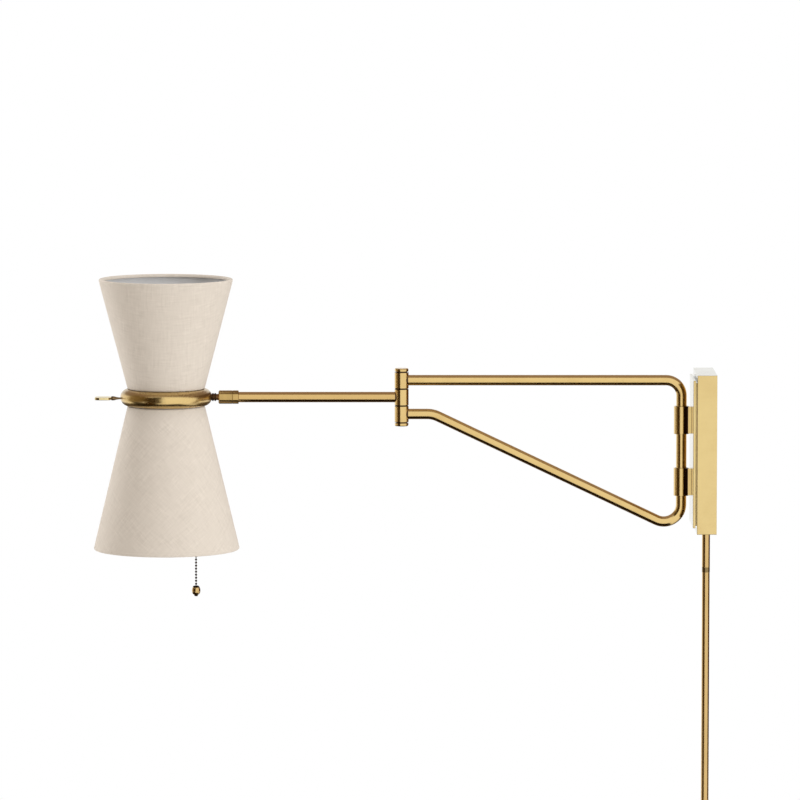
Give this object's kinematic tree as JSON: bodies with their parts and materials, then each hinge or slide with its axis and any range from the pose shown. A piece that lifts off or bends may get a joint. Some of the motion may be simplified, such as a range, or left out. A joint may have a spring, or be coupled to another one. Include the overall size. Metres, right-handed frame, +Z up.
{
  "type": "swing arm wall lamp",
  "caption": "Brass swing arm wall lamp: rectangular canopy, braced tube arm, elbow and forearm carrying an hourglass linen shade in a swivelling ring, with a ball pull chain and a cord cover.",
  "frame": {"origin": "centre of the back of the wall bracket, on the wall", "axes": "+X into the wall, the arm reaches along -X, +Z up"},
  "size_m": [0.6656, 0.157, 0.6218],
  "materials": {
    "brass": "satin, lightly aged",
    "dark_brass": "dark oxidised",
    "steel": "zinc plated",
    "wire_frame": "satin white",
    "nylon": "matt black",
    "phenolic": "matt black",
    "linen": "woven linen",
    "liner": "matt off-white",
    "frosted_glass": "frosted",
    "wire_sheath": "matt"
  },
  "bodies": {
    "wall_mount": {"wall_bracket": "steel", "wall_canopy": "brass", "front_plate": "brass", "upper_lug": "brass", "lower_lug": "brass", "pivot_bushes": "nylon", "lug_screws": "steel", "canopy_screws": "brass", "pivot_grub_screw": "steel", "terminal_block": "phenolic", "canopy_wire": "wire_sheath", "cord_cover_stub": "brass", "stub_nut": "steel", "cord_cover_ferrule": "dark_brass", "cord_cover_tube": "brass", "cord_bush": "nylon"},
    "swing_arm": {"arm_tube": "brass", "upper_knuckle": "brass", "lower_knuckle": "brass", "elbow_pins": "steel", "elbow_washers": "nylon", "elbow_caps": "brass", "arm_wire": "wire_sheath"},
    "forearm": {"middle_knuckle": "brass", "forearm_tube": "brass", "swivel_collar": "brass", "collar_nut": "brass", "friction_washer_ring": "nylon", "swivel_spring": "steel", "forearm_wire": "wire_sheath"},
    "head": {"swivel_stem": "dark_brass", "neck_discs": "dark_brass", "shade_ring": "brass", "handle_stem_bead": "brass", "handle_paddle": "brass", "ring_spider": "brass", "spider_nipple": "brass", "head_wire": "wire_sheath", "upper_lamp_holder": "phenolic", "lower_lamp_holder": "phenolic", "screw_shells": "brass", "lamp_contacts": "brass", "clamp_rings": "phenolic", "bulb_bases": "brass", "upper_bulb": "frosted_glass", "lower_bulb": "frosted_glass", "upper_shade_cover": "linen", "upper_shade_liner": "liner", "lower_shade_cover": "linen", "lower_shade_liner": "liner", "rim_wires": "wire_frame", "upper_shade_fitter": "wire_frame", "lower_shade_fitter": "wire_frame", "switch_housing": "phenolic", "pull_nozzle": "brass"},
    "pull_link": {"pull_rod": "brass", "coupling_cross_pin": "steel"},
    "hanging_chain": {"pull_chain": "brass", "chain_finial": "brass"}
  },
  "joints": [
    {"name": "wall_pivot", "type": "hinge", "parent": "wall_mount", "child": "swing_arm", "pos_m": [-0.0358, 0, 0], "axis": [0, 0, 1], "range_deg": [-90, 90]},
    {"name": "elbow", "type": "hinge", "parent": "swing_arm", "child": "forearm", "pos_m": [-0.3353, 0, 0.0577], "axis": [0, 0, 1], "range_deg": [-135, 135]},
    {"name": "head_swivel", "type": "hinge", "parent": "forearm", "child": "head", "pos_m": [-0.5871, 0, 0.0577], "axis": [1, 0, 0], "range_deg": [-160, 160]},
    {"name": "chain_pull", "type": "slide", "parent": "head", "child": "pull_link", "axis": [0, 0, -1], "range_m": [0, 0.008], "stiffness_N_per_m": 400, "springref_m": -0.004},
    {"name": "chain_swing", "type": "hinge", "parent": "pull_link", "child": "hanging_chain", "pos_m": [-0.5558, 0, 0.0172], "axis": [1, 0, 0], "range_deg": [-25, 25]}
  ]
}
